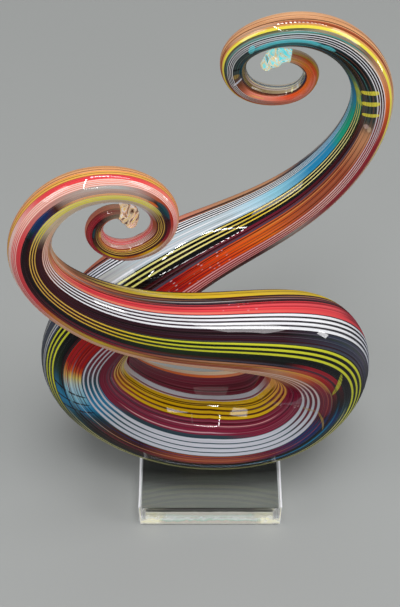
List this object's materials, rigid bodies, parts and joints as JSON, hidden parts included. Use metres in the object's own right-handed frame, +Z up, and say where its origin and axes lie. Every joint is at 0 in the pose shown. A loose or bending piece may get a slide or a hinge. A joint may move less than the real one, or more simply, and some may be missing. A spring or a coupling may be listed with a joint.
{
  "type": "glass sculpture",
  "caption": "Tapered striped glass rod bent into an upright loop whose arms cross and roll up into curls, standing on a clear rectangular glass block.",
  "frame": {"origin": "middle of the base block's flat underside", "axes": "+Z up, away from the underside; -Y is the front, the side that the arm ending in the left-hand curl passes on; +X to the right seen from the front"},
  "size_m": [0.1231, 0.0815, 0.211],
  "materials": {
    "block_glass": "polished clear glass, ground edges",
    "film_adhesive": "clear cured adhesive",
    "core_glass": "fire-polished clear glass",
    "aubergine_glass": "fire-polished coloured glass",
    "yellow_glass": "fire-polished coloured glass",
    "teal_glass": "fire-polished coloured glass",
    "maroon_glass": "fire-polished coloured glass",
    "orange_glass": "fire-polished coloured glass",
    "lower_white_glass": "fire-polished coloured glass",
    "ruby_glass": "fire-polished coloured glass",
    "golden_glass": "fire-polished coloured glass",
    "amber_glass": "fire-polished coloured glass",
    "pale_glass": "fire-polished coloured glass",
    "wine_glass": "fire-polished coloured glass",
    "ivory_glass": "fire-polished coloured glass",
    "umber_glass": "fire-polished coloured glass",
    "smoke_glass": "fire-polished coloured glass",
    "gold_glass": "fire-polished coloured glass",
    "plum_glass": "fire-polished coloured glass",
    "coral_glass": "fire-polished coloured glass",
    "upper_white_glass": "fire-polished coloured glass"
  },
  "bodies": {
    "root": {"base_block": "block_glass", "adhesive_film": "film_adhesive", "clear_core": "core_glass", "aubergine_ribbon": "aubergine_glass", "yellow_thread_1": "yellow_glass", "yellow_thread_2": "yellow_glass", "yellow_thread_3": "yellow_glass", "teal_ribbon": "teal_glass", "maroon_ribbon": "maroon_glass", "orange_ribbon": "orange_glass", "lower_white_thread_1": "lower_white_glass", "lower_white_thread_2": "lower_white_glass", "lower_white_thread_3": "lower_white_glass", "lower_white_thread_4": "lower_white_glass", "ruby_ribbon": "ruby_glass", "golden_thread_1": "golden_glass", "golden_thread_2": "golden_glass", "golden_thread_3": "golden_glass", "amber_ribbon": "amber_glass", "pale_ribbon": "pale_glass", "wine_ribbon": "wine_glass", "ivory_ribbon": "ivory_glass", "umber_ribbon": "umber_glass", "smoke_ribbon": "smoke_glass", "gold_thread_1": "gold_glass", "gold_thread_2": "gold_glass", "plum_ribbon": "plum_glass", "coral_ribbon": "coral_glass", "upper_white_thread_1": "upper_white_glass", "upper_white_thread_2": "upper_white_glass", "upper_white_thread_3": "upper_white_glass", "upper_white_thread_4": "upper_white_glass"}
  },
  "joints": []
}
